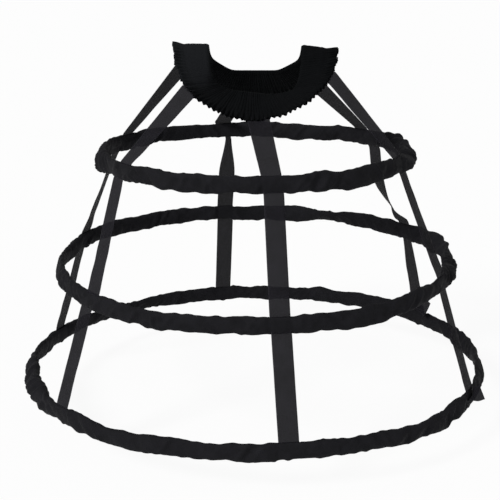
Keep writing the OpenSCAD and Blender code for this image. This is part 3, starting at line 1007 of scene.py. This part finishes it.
def tail_rows(angle, length, way, tilt):
    """Rows of a strap's loose end, folded back past the bottom hoop and out of its casing."""
    inside = -STRAP_OFF - TAIL_GAP
    if way[0] > 0:
        fold = [hoop_row(angle, "low", inside, 2 * MM), hoop_row(angle, "low", inside, -BONE_FOLD - 2 * MM),
                hoop_row(angle, "low", 0, -BONE_FOLD - 4 * MM), hoop_row(angle, "low", CASING_T / 2, 5 * MM)]
    else:
        slope = (HOOPS["low"][0] - HOOPS["mid"][0]) / (HOOPS["mid"][1] - HOOPS["low"][1])
        fold = [hoop_row(angle, "low", inside - slope * TAIL_RISE, TAIL_RISE)]
    theta = math.radians(angle)
    out = np.array([math.cos(theta), math.sin(theta), 0.0])
    along = np.array([-math.sin(theta), math.cos(theta), 0.0])
    ahead = unit(out * way[0] + along * way[1] + np.array([0.0, 0.0, way[2]]))
    across = unit(along - ahead * np.dot(along, ahead))
    across = across * math.cos(math.radians(tilt)) + np.cross(ahead, across) * math.sin(math.radians(tilt))
    base = fold[-1][RIBBON_COLUMNS // 2]
    half = COLUMNS[:, None] * across * STRAP_W / 2
    return fold + [base + ahead * length * k / TAIL_STEPS + half for k in range(1, TAIL_STEPS + 1)]


def make_strap(name, seed):
    """A ribbon strap, from the waistband's slit to its folded end."""
    waist_angle, top_in, top_out, mid_in, mid_out, low = STRAPS[name]
    edge = CASING_H / 2 + STRAP_CLEAR
    waist = band_row(waist_angle, BAND_W + STRAP_CLEAR, WAIST_FLARE.get(name, 1.0))
    into_top = hoop_row(top_in, "top", STRAP_OFF, edge)
    from_top = hoop_row(top_out, "top", STRAP_OFF, -edge)
    into_mid = hoop_row(mid_in, "mid", STRAP_OFF, edge)
    from_mid = hoop_row(mid_out, "mid", STRAP_OFF, -edge)
    into_low = hoop_row(low, "low", STRAP_OFF, edge)
    rows = [band_row(waist_angle, STITCH_AT + 1 * MM), waist]
    rows += free_run(waist, into_top, 0)
    rows += [into_top, from_top]
    rows += free_run(from_top, into_mid, STRAP_BOW.get(name, STRAP_SLACK), BOW_SAG.get(name, 1.0),
                     STRAP_LEAN.get(name, 0.0), name in TWISTED)
    rows += [into_mid, from_mid]
    rows += free_run(from_mid, into_low, STRAP_SLACK)
    rows += [into_low, hoop_row(low, "low", STRAP_OFF, -BONE_FOLD)]
    rows += [hoop_row(low, "low", 0, -BONE_FOLD - STRAP_OFF),
             hoop_row(low, "low", -STRAP_OFF, -BONE_FOLD),
             hoop_row(low, "low", -STRAP_OFF, STRAP_TAIL - BONE_FOLD)]
    if name in TAILS:
        rows += tail_rows(low, *TAILS[name])
    points = soften(dense(rows), RIBBON_SOFT)
    for level in LEVELS:
        if (name, level) in BUNCHED:
            points = bunch(points, level, BUNCHED[(name, level)])
    v = np.arange(len(points)) * RIBBON_STEP
    pitch, height, cells = RIBBON_WAVES
    scale, first = RIBBON_ROWS
    wave = height * lattice(*np.meshgrid(v / pitch, COLUMNS * scale + first, indexing="ij"), cells, seed)
    points = points + ribbon_normal(points)[:, None, :] * wave[..., None]
    piece = grid_object("ribbon_" + name, points, (v, (COLUMNS + 1) / 2 * STRAP_W))
    thicken(piece, STRAP_T, 0)
    finish_piece(piece, RIBBON_LOOK, ["strap_" + name])


for number, strap_name in enumerate(STRAPS):
    make_strap(strap_name, RIBBON_SEED + number)


# Stage, light and camera

FLOOR_DROP = 60 * MM
FLOOR_SIZE = 60.0
FLOOR_COLOUR = (0.9, 0.9, 0.9, 1)
FLOOR_ROUGH = 0.9
# Share of white in the floor as the camera sees it; the rest keeps the shadow
FLOOR_WHITE = 0.92
WORLD_LIGHT = 0.32
# Lamps: strength, spread and turn in degrees
LAMPS = {"key": (2.7, 16, (54, 0, -44)), "fill": (0.35, 50, (62, 0, 35))}


def make_floor():
    lowest = CAD_BOX[0][2] - FLOOR_DROP
    half = FLOOR_SIZE / 2
    mesh = bpy.data.meshes.new("floor")
    mesh.from_pydata([(-half, -half, lowest), (half, -half, lowest), (half, half, lowest), (-half, half, lowest)],
                     [], [(0, 1, 2, 3)])
    floor = add_object("floor", mesh)
    material, tree, shader = shader_tree("white_floor")
    set_values(shader, Base_Color=FLOOR_COLOUR, Roughness=FLOOR_ROUGH)
    glow = add_node(tree, "ShaderNodeEmission", Strength=1.0)
    seen = add_node(tree, "ShaderNodeLightPath")
    direct = math_node(tree, "MAXIMUM", seen.outputs["Is Camera Ray"], seen.outputs["Is Glossy Ray"])
    direct = math_node(tree, "MAXIMUM", direct, seen.outputs["Is Transmission Ray"])
    blend = add_node(tree, "ShaderNodeMixShader")
    tree.links.new(math_node(tree, "MULTIPLY", direct, FLOOR_WHITE), blend.inputs[0])
    tree.links.new(shader.outputs[0], blend.inputs[1])
    tree.links.new(glow.outputs[0], blend.inputs[2])
    tree.links.new(blend.outputs[0], tree.nodes["Material Output"].inputs["Surface"])
    mesh.materials.append(material)


def make_light():
    world = bpy.data.worlds.new("studio")
    bpy.context.scene.world = world
    world.use_nodes = True
    tree = world.node_tree
    back = tree.nodes["Background"]
    back.inputs["Color"].default_value = (1, 1, 1, 1)
    seen = add_node(tree, "ShaderNodeLightPath")
    direct = math_node(tree, "MAXIMUM", seen.outputs["Is Camera Ray"], seen.outputs["Is Transmission Ray"])
    strength = math_node(tree, "ADD", WORLD_LIGHT, math_node(tree, "MULTIPLY", direct, 1 - WORLD_LIGHT))
    tree.links.new(strength, back.inputs["Strength"])
    for name, (energy, spread, turn) in LAMPS.items():
        lamp = bpy.data.lights.new(name, "SUN")
        lamp.energy = energy
        lamp.angle = math.radians(spread)
        holder = add_object(name, lamp)
        holder.rotation_euler = [math.radians(v) for v in turn]


CAMERA_AT = (-8.3 * MM, -1920.7 * MM, 253.3 * MM)
CAMERA_DIP = 15.617
FOCAL_PIXELS = 1188.0
PICTURE = 500.0
SENSOR = 36.0
VIEW_END = 100.0


def make_camera():
    data = bpy.data.cameras.new("camera")
    data.sensor_width = SENSOR
    data.lens = FOCAL_PIXELS / PICTURE * SENSOR
    data.clip_end = VIEW_END
    camera = add_object("camera", data)
    camera.location = CAMERA_AT
    camera.rotation_euler = (math.radians(90 - CAMERA_DIP), 0, 0)
    bpy.context.scene.camera = camera


make_floor()
make_light()
make_camera()
bpy.context.scene.view_settings.view_transform = "Standard"
